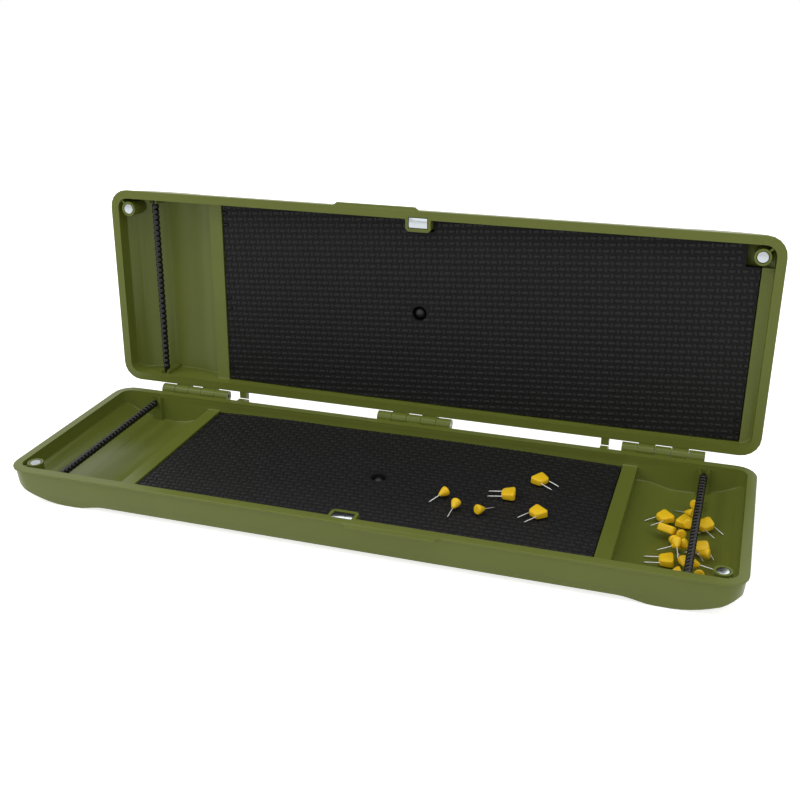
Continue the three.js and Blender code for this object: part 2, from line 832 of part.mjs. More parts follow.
const pocketCorner = box(
  [hollowHalfLength - cornerPocketLength - padGap, halfLength],
  [hollowHalfDepth - cornerPocketDepth - padGap, halfDepth],
  [-halfHeight, 0],
);
const padReach = padEdge - partitionDraft - padGap;
addPiece(base, 'base_foam', padSolid(-padReach, padReach, -1, []), foam);
const lidPadEnd = ledgeEdge - partitionDraft - padGap;
addPiece(lid, 'lid_foam', padSolid(-padReach, lidPadEnd, 1, [pocketCorner]), foam);
addPiece(base, 'base_foam_stud', foamStud(-baseStudDrop), darkPlastic);
addPiece(lid, 'lid_foam_stud', foamStud(-lidStudDrop), darkPlastic);

[['base', base, -1], ['lid', lid, 1]].forEach(([half, group, front]) => {
  sides.forEach(([place, side]) => {
    addPiece(group, `${half}_magnet_${place}`, cornerMagnet(side, front), nickel);
  });
  addPiece(group, `${half}_magnet_centre`, barMagnet(front), nickel);
});

addPiece(base, 'ribbed_rod_base_left', ribbedRod(-rodX), darkPlastic);
addPiece(base, 'ribbed_rod_base_right', ribbedRod(rodX), darkPlastic);
addPiece(lid, 'ribbed_rod_lid_left', ribbedRod(-rodX), darkPlastic);

// Places of the rig pins: how far right of the middle and towards the back, as shares of the
// hollow's half length and half depth, then the turn, nose-down tilt and roll in degrees.
const padPinShares = [
  ['single', 0.212, -0.2, 236, 13, 0],
  ['single', 0.259, -0.383, 263, 13, 0],
  ['single', 0.328, -0.416, 54, 13, 0],
  ['double', 0.381, -0.027, 188, 4, 0],
  ['double', 0.448, 0.348, 328, 4, 0],
  ['double', 0.478, -0.285, 231, 4, 0],
];
const heapPinShares = [
  ['double', 0.797, 0.3, 222, 5, 0],
  ['double', 0.852, 0.28, 335, 6, 0],
  ['double', 0.907, 0.2, 312, 5, 8],
  ['double', 0.823, -0.42, 187, 4, 0],
  ['double', 0.903, -0.19, 295, 4, 0],
  ['double', 0.812, 0.03, 69, 30, 0],
  ['single', 0.864, 0.12, 80, 15, 0],
  ['single', 0.848, 0.01, 100, 15, 0],
  ['single', 0.834, -0.08, 290, 14, 0],
  ['single', 0.846, -0.19, 200, 15, 0],
  ['single', 0.862, -0.26, 330, 15, 0],
  ['single', 0.843, -0.32, 280, 15, 0],
  ['single', 0.866, -0.42, 285, 14, 0],
  ['single', 0.855, -0.6, 200, 14, 0],
  ['single', 0.918, -0.36, 172, 10, 0],
  ['single', 0.89, -0.53, 5, 14, 0],
  ['single', 0.908, -0.62, 100, 14, 0],
  ['single', 0.872, 0.62, 60, 15, 0],
  ['single', 0.862, 0.47, 148, 15, 0],
];

// The least height at which a turned pin is clear of the floor and of what already lies there
function restingHeight(form, turn, floor, others) {
  const piece = form.transform(turn.elements);
  const points = piece.getMesh().vertProperties;
  let height = -Infinity;
  for (let i = 0; i < points.length; i += 3) {
    height = Math.max(height, floor(points[i]) - points[i + 2] + pinSeatGap);
  }
  const isClear = () => {
    const raised = piece.translate([0, 0, height]);
    return others.every((other) => raised.minGap(other, pinSeatGap) >= pinSeatGap);
  };
  while (!isClear()) height += pinLiftStep;
  return height;
}

function layPins(prefix, places, floor, others) {
  const lying = [...others];
  places.forEach(([kind, acrossShare, alongShare, turn, tilt, roll], i) => {
    const angles = [roll, tilt, turn].map((angle) => THREE.MathUtils.degToRad(angle));
    const matrix = new THREE.Matrix4().makeRotationFromEuler(new THREE.Euler(...angles, 'ZYX'));
    matrix.setPosition(acrossShare * hollowHalfLength, alongShare * hollowHalfDepth, 0);
    const height = restingHeight(pinForms[kind], matrix, floor, lying);
    const mesh = addPiece(base, `${prefix}_${kind}_${i + 1}`, pinForms[kind], amber);
    mesh.applyMatrix4(matrix);
    mesh.position.z = height;
    lying.push(pinForms[kind].transform(matrix.elements).translate([0, 0, height]));
  });
}

const padTop = (x) => padCrown * (1 - Math.abs(x / padReach) ** padCrownPower) - padDrop;
layPins('pad_pin', padPinShares, padTop, []);
layPins('bay_pin', heapPinShares, bayLevel, [ribbedRod(rodX)]);

export default rigBox;
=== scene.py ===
"""A slim hinged rig box, standing open, with its foam pads, ribbed rods, magnets and rig pins.

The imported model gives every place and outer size. This script gives each piece its fine shape
and its finish: rounded mouldings, embossed foam, beaded rods, plated magnets and moulded pins.
"""

import json
import logging
import math
from dataclasses import dataclass, field
from enum import Enum
from typing import ClassVar

import bmesh
import bpy
from mathutils import Matrix, Vector
from mathutils.bvhtree import BVHTree


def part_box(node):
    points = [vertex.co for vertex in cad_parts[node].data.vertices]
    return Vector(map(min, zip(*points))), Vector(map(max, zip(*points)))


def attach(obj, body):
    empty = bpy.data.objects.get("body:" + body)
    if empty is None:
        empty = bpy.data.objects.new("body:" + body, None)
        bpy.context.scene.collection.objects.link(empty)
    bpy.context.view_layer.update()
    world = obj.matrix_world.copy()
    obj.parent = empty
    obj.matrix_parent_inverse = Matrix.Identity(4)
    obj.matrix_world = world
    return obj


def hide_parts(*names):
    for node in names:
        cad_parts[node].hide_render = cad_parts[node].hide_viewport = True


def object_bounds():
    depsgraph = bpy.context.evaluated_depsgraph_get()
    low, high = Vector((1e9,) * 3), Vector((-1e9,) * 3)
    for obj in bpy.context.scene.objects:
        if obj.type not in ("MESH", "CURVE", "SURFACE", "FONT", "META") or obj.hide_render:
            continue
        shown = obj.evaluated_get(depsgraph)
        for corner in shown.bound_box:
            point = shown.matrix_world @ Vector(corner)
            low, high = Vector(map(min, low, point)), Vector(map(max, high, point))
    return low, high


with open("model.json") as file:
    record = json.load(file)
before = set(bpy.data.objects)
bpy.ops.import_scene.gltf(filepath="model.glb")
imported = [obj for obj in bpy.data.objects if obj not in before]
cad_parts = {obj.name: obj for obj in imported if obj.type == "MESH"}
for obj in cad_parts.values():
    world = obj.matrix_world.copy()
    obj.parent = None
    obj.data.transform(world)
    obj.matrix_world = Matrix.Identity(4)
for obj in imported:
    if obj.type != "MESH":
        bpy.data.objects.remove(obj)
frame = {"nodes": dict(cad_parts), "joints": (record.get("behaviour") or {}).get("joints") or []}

CAD_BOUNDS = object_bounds()
LOG = logging.getLogger("rig_box")

MM = 0.001
Colour = tuple[float, float, float]
Pair = tuple[float, float]

# Points closer than this become one, and so do faces that meet at a smaller angle in degrees
WELD = 0.01 * MM
FLAT_ANGLE = 0.6

# The Mix node's sockets when it mixes colours
FIRST_COLOUR, SECOND_COLOUR, MIXED_COLOUR = 6, 7, 2


class Half(Enum):
    """The two halves of the case, named after the bodies that carry them."""

    BASE = "base"
    LID = "lid"


class PinKind(Enum):
    """The two kinds of rig pin."""

    SINGLE = "single"
    DOUBLE = "double"


class Slot(Enum):
    """The record's material slots that new pieces take their finish from."""

    CASE = "case_plastic"
    FOAM = "pad_foam"
    DARK = "dark_plastic"
    PIN = "pin_plastic"
    NICKEL = "nickel"
    STEEL = "steel"


# Places: each half has its own space, with the rim at height 0 and the hollow below it


def half_space(half: Half) -> Matrix:
    """The turn and move that take a half's own space to its place in the open box.

    Args:
        half: Which half of the case.

    Returns:
        The matrix from the half's space to the row frame.
    """
    joint = frame["joints"][0]
    pivot = Vector(joint["pos_m"])
    rim_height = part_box("base_magnet_centre")[1].z + CaseHalf.magnet_drop
    if half is Half.BASE:
        return Matrix.Translation((0, 0, rim_height))
    rise = pivot.z - rim_height
    opened = Matrix.Rotation(-math.radians(joint["range_deg"][1]), 4, "X")
    turned_over = Matrix.Translation((0, -pivot.y, rise)) @ Matrix.Rotation(math.pi, 4, "X")
    return Matrix.Translation(pivot) @ opened @ turned_over


def points_of(node: str, space: Matrix | None = None) -> list[Vector]:
    """The corners of a node's mesh.

    Args:
        node: The node's name.
        space: The space to give them in, or None for the row frame.

    Returns:
        The node's vertices as vectors.
    """
    back = space.inverted() if space else Matrix.Identity(4)
    return [back @ vertex.co for vertex in frame["nodes"][node].data.vertices]


def box_in(node: str, space: Matrix) -> tuple[Vector, Vector]:
    """Measures a node in a half's own space.

    Args:
        node: The node's name.
        space: The half's space.

    Returns:
        The node's lowest and highest corner.
    """
    points = points_of(node, space)
    low = Vector([min(point[i] for point in points) for i in range(3)])
    high = Vector([max(point[i] for point in points) for i in range(3)])
    return low, high


def along(axis: int, distance: float) -> Vector:
    """A vector of the given length along one axis, which is numbered from 0."""
    return Vector([distance if i == axis else 0 for i in range(3)])


# Shader maths


class Value:
    """A shader output, or a number, on which arithmetic adds Math nodes."""

    def __init__(self, shader: "Shader", source: bpy.types.NodeSocket | float) -> None:
        """Keeps the socket or number together with the shader that it belongs to."""
        self.shader = shader
        self.source = source

    def _math(self, operation: str, *inputs: "Value | float") -> "Value":
        """Adds one Math node and returns its result."""
        values = dict(enumerate(inputs))
        return self.shader.node("ShaderNodeMath", {"operation": operation}, values)

    def __add__(self, other: "Value | float") -> "Value":
        """The sum."""
        return self._math("ADD", self, other)

    def __sub__(self, other: "Value | float") -> "Value":
        """The difference."""
        return self._math("SUBTRACT", self, other)

    def __rsub__(self, other: "Value | float") -> "Value":
        """The difference, with this value taken from the other."""
        return self._math("SUBTRACT", other, self)

    def __mul__(self, other: "Value | float") -> "Value":
        """The product."""
        return self._math("MULTIPLY", self, other)

    __radd__ = __add__
    __rmul__ = __mul__

    def clamped(self) -> "Value":
        """The value, held between 0 and 1."""
        return self.shader.node("ShaderNodeClamp", {}, {0: self})

    def ramp(self, start: float, end: float) -> "Value":
        """A smooth step from 0 at start to 1 at end."""
        settings = {"interpolation_type": "SMOOTHSTEP"}
        return self.shader.node("ShaderNodeMapRange", settings, {0: self, 1: start, 2: end})


class Shader:
    """The nodes of a material, or of the surroundings, under construction."""

    def __init__(self, owner: bpy.types.Material | bpy.types.World) -> None:
        """Empties the owner's node tree."""
        self.owner = owner
        self.tree = owner.node_tree
        self.tree.nodes.clear()

    @classmethod
    def for_surface(cls, name: str) -> "Shader":
        """Starts a new material."""
        material = bpy.data.materials.new(name)
        material.use_nodes = True
        return cls(material)

    def seen(self) -> Value:
        """1 where a surface is looked at, also in a reflection or through glass, and 0 where it lights."""
        rays = ("Is Camera Ray", "Is Glossy Ray", "Is Transmission Ray")
        return sum(self.node("ShaderNodeLightPath", output=ray) for ray in rays).clamped()

    def node(
        self,
        kind: str,
        settings: dict | None = None,
        inputs: dict | None = None,
        output: int | str = 0,
    ) -> Value:
        """Adds a node.

        Args:
            kind: The node's type.
            settings: Its properties, set before its sockets.
            inputs: The values or links of its sockets, by name or number.
            output: The socket that is wanted from it.

        Returns:
            That output.
        """
        node = self.tree.nodes.new(kind)
        for name, setting in (settings or {}).items():
            setattr(node, name, setting)
        for key, value in (inputs or {}).items():
            source = value.source if isinstance(value, Value) else value
            if isinstance(source, bpy.types.NodeSocket):
                self.tree.links.new(source, node.inputs[key])
            else:
                node.inputs[key].default_value = source
        return Value(self, node.outputs[output] if node.outputs else 0.0)

    def coordinates(self) -> Value:
        """The piece's own Object coordinates."""
        return self.node("ShaderNodeTexCoord", output="Object")

    def noise(
        self,
        size: float,
        detail: float = 2,
        stretch: tuple[float, float, float] = (1, 1, 1),
    ) -> Value:
        """Noise whose features have about the given size.

        Args:
            size: The size of a feature in metres.
            detail: How many finer octaves there are.
            stretch: How far the features are drawn together along each axis.

        Returns:
            The noise, from 0 to 1.
        """
        mapped = self.node("ShaderNodeMapping", {}, {"Vector": self.coordinates(), "Scale": stretch})
        values = {"Vector": mapped, "Scale": 1 / size, "Detail": detail}
        return self.node("ShaderNodeTexNoise", {}, values)

    def blend(self, factor: Value, first: Colour, second: Colour) -> Value:
        """A colour between two.

        Args:
            factor: 0 for the first colour and 1 for the second.
            first: The first colour.
            second: The second colour.

        Returns:
            The mixed colour.
        """
        values = {0: factor, FIRST_COLOUR: (*first, 1), SECOND_COLOUR: (*second, 1)}
        return self.node("ShaderNodeMix", {"data_type": "RGBA"}, values, MIXED_COLOUR)

    def uneven(self, pattern: Value, middle: float, spread: float) -> Value:
        """A value that follows a pattern from 0 to 1, with a spread about its middle."""
        return (pattern - 0.5) * spread + middle

    def bump(self, height: Value, depth: float, strength: float = 1.0) -> Value:
        """A normal bent by a height from 0 to 1 that stands for a depth in metres."""
        return self.node("ShaderNodeBump", {}, {"Height": height, "Distance": depth, "Strength": strength})

    def finish(self, inputs: dict) -> bpy.types.Material:
        """Closes the material with one Principled shader.

        Args:
            inputs: The values or links of the shader's sockets, by name.

        Returns:
            The finished material.
        """
        surface = self.node("ShaderNodeBsdfPrincipled", {}, inputs)
        self.node("ShaderNodeOutputMaterial", {}, {"Surface": surface})
        return self.owner


@dataclass(frozen=True)
class MouldedPlastic:
    """Olive green plastic, moulded with a satin skin."""

    shade: Colour = (0.136, 0.162, 0.025)
    light_shade: Colour = (0.142, 0.169, 0.027)
    grain_size: float = 0.25 * MM
    grain_depth: float = 0.004 * MM
    grain_detail: float = 1
    flow_size: float = 22 * MM
    flow_detail: float = 3
    flow_edges: Pair = (0.3, 0.7)
    roughness: float = 0.31
    roughness_spread: float = 0.04
    sheen: float = 0.26

    def material(self) -> bpy.types.Material:
        """The plastic: faint flow clouds, a satin grain and a little wear in its gloss.

        Returns:
            The material.
        """
        shader = Shader.for_surface("moulded_plastic")
        flow = shader.noise(self.flow_size, self.flow_detail)
        grain = shader.noise(self.grain_size, self.grain_detail)
        return shader.finish({
            "Base Color": shader.blend(flow.ramp(*self.flow_edges), self.shade, self.light_shade),
            "Roughness": shader.uneven(flow, self.roughness, self.roughness_spread),
            "Normal": shader.bump(grain, self.grain_depth),
            "Specular IOR Level": self.sheen,
        })


@dataclass(frozen=True)
class EmbossedFoam:
    """Closed-cell black foam: a fine skin on its pillows, glossier than the duller pits between them,
    whose colour is a touch darker as painted shade.
    """

    name: str
    shade: Colour
    light_shade: Colour
    roughness: float
    sheen: float
    pore_size: float = 0.3 * MM
    pore_depth: float = 0.05 * MM
    pore_strength: float = 0.6
    cloud_size: float = 9 * MM
    roughness_spread: float = 0.16

    def material(self) -> bpy.types.Material:
        """The foam: pores, and a slight unevenness of shade.

        Returns:
            The material.
        """
        shader = Shader.for_surface(self.name)
        pores = shader.noise(self.pore_size)
        clouds = shader.noise(self.cloud_size)
        return shader.finish({
            "Base Color": shader.blend(clouds, self.shade, self.light_shade),
            "Roughness": shader.uneven(pores, self.roughness, self.roughness_spread),
            "Normal": shader.bump(pores, self.pore_depth, self.pore_strength),
            "Specular IOR Level": self.sheen,
        })


@dataclass(frozen=True)
class BlackPlastic:
    """Black plastic: glossy on rods, duller on studs."""

    name: str
    roughness: float
    shade: Colour = (0.0045, 0.0045, 0.005)
    light_shade: Colour = (0.008, 0.008, 0.0085)
    grain_size: float = 0.4 * MM
    grain_depth: float = 0.006 * MM
    roughness_spread: float = 0.14
    sheen: float = 0.3

    def material(self) -> bpy.types.Material:
        """The plastic: an even black with a fine grain.

        Returns:
            The material.
        """
        shader = Shader.for_surface(self.name)
        grain = shader.noise(self.grain_size)
        return shader.finish({
            "Base Color": shader.blend(grain, self.shade, self.light_shade),
            "Roughness": shader.uneven(grain, self.roughness, self.roughness_spread),
            "Normal": shader.bump(grain, self.grain_depth),
            "Specular IOR Level": self.sheen,
        })


@dataclass(frozen=True)
class AmberPlastic:
    """The yellow plastic that rig pins are moulded from."""

    shade: Colour = (0.98, 0.56, 0.010)
    light_shade: Colour = (1.0, 0.68, 0.018)
    cloud_size: float = 1.6 * MM
    cloud_detail: float = 3
    grain_size: float = 0.2 * MM
    grain_depth: float = 0.008 * MM
    grain_detail: float = 1
    roughness: float = 0.42
    roughness_spread: float = 0.16
    sheen: float = 0.3
    glow: float = 0.12
    glow_depth: float = 1.5 * MM
    glow_reach: Colour = (1.0, 0.6, 0.15)

    def material(self) -> bpy.types.Material:
        """The plastic: a little cloudy, and slightly clear at its edges.

        Returns:
            The material.
        """
        shader = Shader.for_surface("amber_plastic")
        clouds = shader.noise(self.cloud_size, self.cloud_detail)
        grain = shader.noise(self.grain_size, self.grain_detail)
        return shader.finish({
            "Base Color": shader.blend(clouds, self.shade, self.light_shade),
            "Roughness": shader.uneven(clouds, self.roughness, self.roughness_spread),
            "Normal": shader.bump(grain, self.grain_depth),
            "Specular IOR Level": self.sheen,
            "Subsurface Weight": self.glow,
            "Subsurface Scale": self.glow_depth,
            "Subsurface Radius": self.glow_reach,
        })


@dataclass(frozen=True)
class PlatedMetal:
    """Nickel plating or drawn steel, with fine scratches."""

    name: str
    shade: Colour
    light_shade: Colour
    roughness: float
    scratch_size: float = 0.5 * MM
    scratch_depth: float = 0.003 * MM
    scratch_detail: float = 3
    scratch_stretch: tuple[float, float, float] = (1.0, 6.0, 1.0)
    roughness_spread: float = 0.2

    def material(self) -> bpy.types.Material:
        """The metal: scratches that change its shade and gloss a little.

        Returns:
            The material.
        """
        shader = Shader.for_surface(self.name)
        scratches = shader.noise(self.scratch_size, self.scratch_detail, self.scratch_stretch)
        return shader.finish({
            "Base Color": shader.blend(scratches, self.shade, self.light_shade),
            "Roughness": shader.uneven(scratches, self.roughness, self.roughness_spread),
            "Normal": shader.bump(scratches, self.scratch_depth),
            "Metallic": 1.0,
        })


@dataclass(frozen=True)
class Finishes:
    """One material of each finish."""

    plastic: bpy.types.Material
    foam: bpy.types.Material
    pit: bpy.types.Material
    rod: bpy.types.Material
    stud: bpy.types.Material
    amber: bpy.types.Material
    nickel: bpy.types.Material
    steel: bpy.types.Material

    @classmethod
    def made(cls) -> "Finishes":
        """Makes every finish once.

        Returns:
            The finishes.
        """
        return cls(
            plastic=MouldedPlastic().material(),
            foam=EmbossedFoam(
                "foam_pillows",
                shade=(0.010, 0.0099, 0.0102),
                light_shade=(0.015, 0.0148, 0.015),
                roughness=0.40,
                sheen=0.20,
            ).material(),
            # The pits' light shade is a touch darker than the pillows': painted shade in the hollows
            # between them
            pit=EmbossedFoam(
                "foam_pits",
                shade=(0.010, 0.0099, 0.0102),
                light_shade=(0.014, 0.0138, 0.014),
                roughness=0.60,
                sheen=0.12,
            ).material(),
            rod=BlackPlastic("rod_plastic", roughness=0.16).material(),
            stud=BlackPlastic(
                "stud_plastic",
                roughness=0.42,
                shade=(0.012, 0.012, 0.012),
                light_shade=(0.016, 0.016, 0.016),
            ).material(),
            amber=AmberPlastic().material(),
            nickel=PlatedMetal(
                "nickel_plating",
                shade=(0.38, 0.41, 0.43),
                light_shade=(0.50, 0.53, 0.55),
                roughness=0.20,
            ).material(),
            steel=PlatedMetal(
                "drawn_steel",
                shade=(0.50, 0.50, 0.48),
                light_shade=(0.68, 0.68, 0.66),
                roughness=0.30,
            ).material(),
        )


# Mesh helpers


def merged_copy(node: str) -> bmesh.types.BMesh:
    """A copy of a node's mesh with its loose triangles joined and flat faces made whole.

    Args:
        node: The node's name.

    Returns:
        A new bmesh in the row frame.
    """
    bm = bmesh.new()
    bm.from_mesh(frame["nodes"][node].data)
    bmesh.ops.remove_doubles(bm, verts=bm.verts, dist=WELD)
    bmesh.ops.dissolve_limit(
        bm, angle_limit=math.radians(FLAT_ANGLE), verts=bm.verts, edges=bm.edges, delimit=set()
    )
    return bm


def add_to(whole: bmesh.types.BMesh, part: bmesh.types.BMesh) -> None:
    """Adds a mesh to another.

    Args:
        whole: The mesh that grows.
        part: The mesh that is added, which is freed.
    """
    mesh = bpy.data.meshes.new("part")
    part.to_mesh(mesh)
    part.free()
    whole.from_mesh(mesh)
    bpy.data.meshes.remove(mesh)


def spun(profile: list[Pair], segments: int) -> bmesh.types.BMesh:
    """A turned solid standing on the Z axis.

    Args:
        profile: Its outline as (radius, height), from one end of the axis to the other.
        segments: How many steps the turn has.

    Returns:
        A closed bmesh with its faces pointing out.
    """
    bm = bmesh.new()
    verts = [bm.verts.new((radius, 0, height)) for radius, height in profile]
    edges = [bm.edges.new(pair) for pair in zip(verts, verts[1:])]
    bmesh.ops.spin(
        bm, geom=verts + edges, axis=(0, 0, 1), cent=(0, 0, 0),
        angle=2 * math.pi, steps=segments, use_merge=True,
    )
    bmesh.ops.remove_doubles(bm, verts=bm.verts, dist=WELD)
    bmesh.ops.recalc_face_normals(bm, faces=bm.faces)
    return bm


def arc(centre: Pair, radius: float, start: float, end: float, steps: int) -> list[Pair]:
    """Points on an arc of a turned outline, with its start and end in degrees."""
    angles = [math.radians(start + (end - start) * i / steps) for i in range(steps + 1)]
    return [(centre[0] + radius * math.cos(a), centre[1] + radius * math.sin(a)) for a in angles]


def rounded_bar(low: Vector, high: Vector, rounding: float, segments: int = 2) -> bmesh.types.BMesh:
    """A block with rounded edges.

    Args:
        low: Its lowest corner.
        high: Its highest corner.
        rounding: The radius of its edges.
        segments: How many steps each rounding has.

    Returns:
        A new bmesh.
    """
    bm = bmesh.new()
    bmesh.ops.create_cube(bm, size=1)
    bmesh.ops.scale(bm, vec=high - low, verts=bm.verts)
    bmesh.ops.translate(bm, vec=(low + high) / 2, verts=bm.verts)
    bmesh.ops.bevel(
        bm, geom=bm.edges[:], offset=rounding, segments=segments,
        profile=0.5, affect="EDGES", material=-1,
    )
    return bm


def put_in_place(bm: bmesh.types.BMesh, low: Vector, high: Vector, space: Matrix) -> None:
    """Moves a turned solid to the middle of a node's box, and from the half's space to the row frame.

    Args:
        bm: The turned solid, on the Z axis at its own height.
        low: The box's lowest corner, in the half's space.
        high: The box's highest corner.
        space: The half's space.
    """
    middle = (low + high) / 2
    bmesh.ops.translate(bm, vec=(middle.x, middle.y, 0), verts=bm.verts)
    bm.transform(space)


def finished(
    name: str,
    bm: bmesh.types.BMesh,
    material: bpy.types.Material,
    body: Half,
    nodes: tuple[str, ...] = (),
    sharp: float = 35,
) -> bpy.types.Object:
    """Turns a bmesh into a piece that rides on a half of the case.

    Args:
        name: The piece's name.
        bm: Its mesh in the row frame, which is freed.
        material: Its finish.
        body: The half that carries it.
        nodes: The nodes that it stands for.
        sharp: The angle in degrees past which an edge stays crisp.

    Returns:
        The finished object.
    """
    mesh = bpy.data.meshes.new(name)
    bm.to_mesh(mesh)
    bm.free()
    mesh.shade_smooth()
    mesh.set_sharp_from_angle(angle=math.radians(sharp))
    mesh.materials.append(material)
    piece = bpy.data.objects.new(name, mesh)
    bpy.context.scene.collection.objects.link(piece)
    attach(piece, body.value)
    if nodes:
        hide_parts(*nodes)
    LOG.info("%s: %d faces", name, len(mesh.polygons))
    return piece


# The case


@dataclass
class CaseHalf:
    """One moulded half: its shell with softened edges."""

    half: Half
    magnet_drop: float = 0.15 * MM
    edge_radius: float = 0.3 * MM
    edge_steps: int = 3
    slit_closing: float = 0.18 * MM
    knuckle_reach: float = 5 * MM
    sideways: float = 0.99
    bevel_angle: float = 38
    sharp_angle: float = 30

    def _close_slits(self, bm: bmesh.types.BMesh) -> None:
        """Widens the lid's knuckles a little, because the solids keep wider slits than the hinges have.

        Args:
            bm: The lid's mesh.
        """
        low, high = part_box("hinge_pin_left")
        axis = (low + high) / 2
        pins = [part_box(f"hinge_pin_{place}") for place in HingePins.places]
        moves = {}
        for face in bm.faces:
            middle = face.calc_center_median()
            beside = any(start.x < middle.x < end.x for start, end in pins)
            near = math.hypot(middle.y - axis.y, middle.z - axis.z) < self.knuckle_reach
            if beside and near and abs(face.normal.x) > self.sideways:
                moves.update({vert: face.normal.copy() for vert in face.verts})
        for vert, normal in moves.items():
            vert.co += normal * self.slit_closing

    def build(self, finishes: Finishes) -> None:
        """Makes the shell from its solid, with every crisp edge rounded a little.

        Args:
            finishes: The materials.
        """
        node = f"{self.half.value}_shell"
        bm = merged_copy(node)
        if self.half is Half.LID:
            self._close_slits(bm)
        shell = finished(
            f"{node}_skin", bm, finishes.plastic, self.half, (node,), self.sharp_angle
        )
        bevel = shell.modifiers.new("rounded edges", "BEVEL")
        bevel.width = self.edge_radius
        bevel.segments = self.edge_steps
        bevel.limit_method = "ANGLE"
        bevel.angle_limit = math.radians(self.bevel_angle)
        bevel.use_clamp_overlap = True
        bevel.harden_normals = True


@dataclass
class HingePins:
    """The steel pins of the three hinges, with chamfered ends."""

    places: ClassVar[tuple[str, ...]] = ("left", "centre", "right")
    chamfer: float = 0.2 * MM
    segments: int = 32

    def build(self, finishes: Finishes) -> None:
        """Turns each pin from its node's own length and radius.

        Args:
            finishes: The materials.
        """
        for place in self.places:
            node = f"hinge_pin_{place}"
            low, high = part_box(node)
            radius = (high.z - low.z) / 2
            length = high.x - low.x
            profile = [(0, 0), (radius - self.chamfer, 0), (radius, self.chamfer)]
            profile += [(radius, length - self.chamfer), (radius - self.chamfer, length), (0, length)]
            bm = spun(profile, self.segments)
            middle = (low + high) / 2
            move = Matrix.Translation((low.x, middle.y, middle.z))
            bm.transform(move @ Matrix.Rotation(math.pi / 2, 4, "Y"))
            finished(f"{node}_rod", bm, finishes.steel, Half.BASE, (node,))


@dataclass
class Magnets:
    """The closing magnets of one half: two discs at the corners and a bar in the middle."""

    half: Half
    edge_radius: float = 0.2 * MM
    edge_steps: int = 4
    lower_turn: float = 60
    lower_steps: int = 3
    segments: int = 48

    def build(self, finishes: Finishes) -> None:
        """Makes the three magnets in the half's space and puts them in place.

        Args:
            finishes: The materials.
        """
        space = half_space(self.half)
        for place in ("left", "right"):
            node = f"{self.half.value}_magnet_{place}"
            low, high = box_in(node, space)
            edge = self.edge_radius
            flat = (high.x - low.x) / 2 - edge
            profile = [(0, low.z), (flat, low.z)]
            profile += arc((flat, low.z + edge), edge, -self.lower_turn, 0, self.lower_steps)
            profile += arc((flat, high.z - edge), edge, 0, 90, self.edge_steps)
            bm = spun([*profile, (0, high.z)], self.segments)
            put_in_place(bm, low, high, space)
            finished(f"{node}_disc", bm, finishes.nickel, self.half, (node,))
        node = f"{self.half.value}_magnet_centre"
        bm = rounded_bar(*box_in(node, space), self.edge_radius)
        bm.transform(space)
        finished(f"{node}_bar", bm, finishes.nickel, self.half, (node,))


# Foam


@dataclass(frozen=True)
class PadTop:
    """The top of a pad's slab in its half's space, probed from just above the rim."""

    low: Vector
    high: Vector
    surface: BVHTree
    probe_height: ClassVar[float] = 1 * MM

    @property
    def centre(self) -> Vector:
        """The middle of the pad's box."""
        return (self.low + self.high) / 2

    def level(self, x: float, y: float) -> float | None:
        """The pad's height at a place, or None where it has none."""
        hit = self.surface.ray_cast(Vector((x, y, self.probe_height)), Vector((0, 0, -1)))[0]
        return hit.z if hit and hit.z > self.centre.z else None


